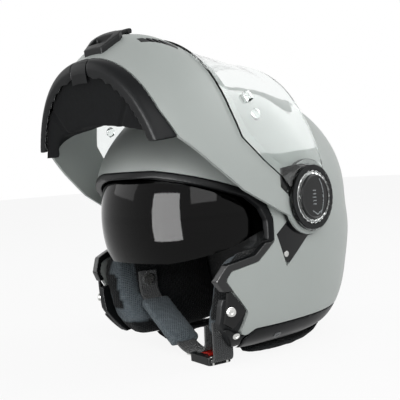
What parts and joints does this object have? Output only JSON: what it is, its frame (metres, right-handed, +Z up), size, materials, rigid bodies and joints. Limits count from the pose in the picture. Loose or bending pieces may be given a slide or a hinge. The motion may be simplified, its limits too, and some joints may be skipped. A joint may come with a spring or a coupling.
{
  "type": "modular motorcycle helmet",
  "caption": "Flip-up motorcycle helmet with the chin bar and clear visor raised, an inner sun visor, cheek pads, latches and a buckled chin strap.",
  "frame": {"origin": "centre of the head opening, on the plane that the helmet stands on", "axes": "+X to the wearer's left, +Y to the back of the head, +Z up to the crown"},
  "size_m": [0.2638, 0.3347, 0.3238],
  "materials": {
    "shell_paint": "matte",
    "frame_plastic": "matte",
    "black_plastic": "satin",
    "rubber_trim": "matte",
    "steel": "satin",
    "foam": "matte",
    "lining_fabric": "matte",
    "webbing": "woven",
    "red_plastic": "gloss",
    "smoked_lens": "gloss",
    "clear_lens": "gloss"
  },
  "bodies": {
    "shell": {"outer_shell": "shell_paint", "rear_vent": "black_plastic", "brow_trim": "rubber_trim", "base_trim": "rubber_trim", "jaw_trim_left": "rubber_trim", "jaw_trim_right": "rubber_trim", "jaw_frame_left": "frame_plastic", "jaw_frame_right": "frame_plastic", "latch_plate_left": "black_plastic", "latch_plate_right": "black_plastic", "jaw_cover_left": "black_plastic", "jaw_cover_right": "black_plastic", "hinge_plate_left": "black_plastic", "hinge_plate_right": "black_plastic", "latch_studs": "steel", "hinge_pins": "steel", "plate_screws": "steel", "cover_screws": "steel", "base_screws": "steel", "impact_liner": "foam", "crown_pad": "lining_fabric", "neck_roll": "lining_fabric", "sun_visor_pins": "steel", "cheek_pad_left": "lining_fabric", "cheek_pad_right": "lining_fabric", "strap_left": "webbing", "strap_right": "webbing", "strap_anchors": "steel", "strap_pad": "lining_fabric", "buckle_frame": "black_plastic", "buckle_tongue": "steel", "buckle_rivets": "steel"},
    "chin_bar": {"chin_bar_shell": "shell_paint", "chin_bar_trim": "rubber_trim", "chin_bar_liner": "foam", "chin_centre_pad": "lining_fabric", "chin_side_pad_left": "lining_fabric", "chin_side_pad_right": "lining_fabric", "breath_guard": "rubber_trim", "chin_vent_housing": "black_plastic", "side_grilles": "black_plastic", "latch_housings": "black_plastic", "mount_plate_left": "black_plastic", "mount_plate_right": "black_plastic", "hinge_cover_left": "black_plastic", "hinge_cover_right": "black_plastic"},
    "visor": {"visor": "clear_lens", "visor_view_tab": "clear_lens", "visor_lock_pins": "clear_lens", "hinge_rings": "clear_lens", "ratchet_rings": "black_plastic"},
    "sun_visor": {"sun_visor": "smoked_lens"},
    "sun_lever": {"sun_lever": "black_plastic"},
    "vent_slider": {"vent_slider": "black_plastic"},
    "release_button": {"release_button": "black_plastic"},
    "latch_hook_left": {"latch_hook_left": "steel"},
    "latch_hook_right": {"latch_hook_right": "steel"},
    "buckle_tab": {"buckle_tab": "red_plastic"}
  },
  "joints": [
    {"name": "chin_bar_hinge", "type": "hinge", "parent": "shell", "child": "chin_bar", "pos_m": [0, -0.017, 0.152], "axis": [-1, 0, 0], "range_deg": [-81, 0]},
    {"name": "visor_hinge", "type": "hinge", "parent": "chin_bar", "child": "visor", "pos_m": [0, -0.017, 0.152], "axis": [-1, 0, 0], "range_deg": [0, 32]},
    {"name": "sun_visor_hinge", "type": "hinge", "parent": "shell", "child": "sun_visor", "pos_m": [0, -0.022, 0.139], "axis": [-1, 0, 0], "range_deg": [0, 46]},
    {"name": "sun_lever_slide", "type": "slide", "parent": "shell", "child": "sun_lever", "axis": [-0.2526, 0.9676, 0], "range_m": [0, 0.018]},
    {"name": "vent_slider_slide", "type": "slide", "parent": "chin_bar", "child": "vent_slider", "axis": [0, -0.9877, -0.1564], "range_m": [0, 0.009]},
    {"name": "release_button_push", "type": "slide", "parent": "chin_bar", "child": "release_button", "axis": [0, 0.9877, 0.1564], "range_m": [0, 0.003], "stiffness_N_per_m": 700},
    {"name": "latch_hook_left_slide", "type": "slide", "parent": "chin_bar", "child": "latch_hook_left", "axis": [-0.6, -0.1252, 0.7902], "range_m": [0, 0.003]},
    {"name": "latch_hook_right_slide", "type": "slide", "parent": "chin_bar", "child": "latch_hook_right", "axis": [0.6, -0.1252, 0.7902], "range_m": [0, 0.003]},
    {"name": "buckle_tab_hinge", "type": "hinge", "parent": "shell", "child": "buckle_tab", "pos_m": [0.05886, -0.0934, 0.0085], "axis": [0.1994, 0.9799, 0], "range_deg": [0, 28], "stiffness_Nm_per_rad": 0.05}
  ],
  "couplings": [
    {"joint": "sun_lever_slide", "follows": "sun_visor_hinge", "m_per_rad": 0.02242},
    {"joint": "latch_hook_left_slide", "follows": "release_button_push", "ratio": 1},
    {"joint": "latch_hook_right_slide", "follows": "release_button_push", "ratio": 1}
  ]
}
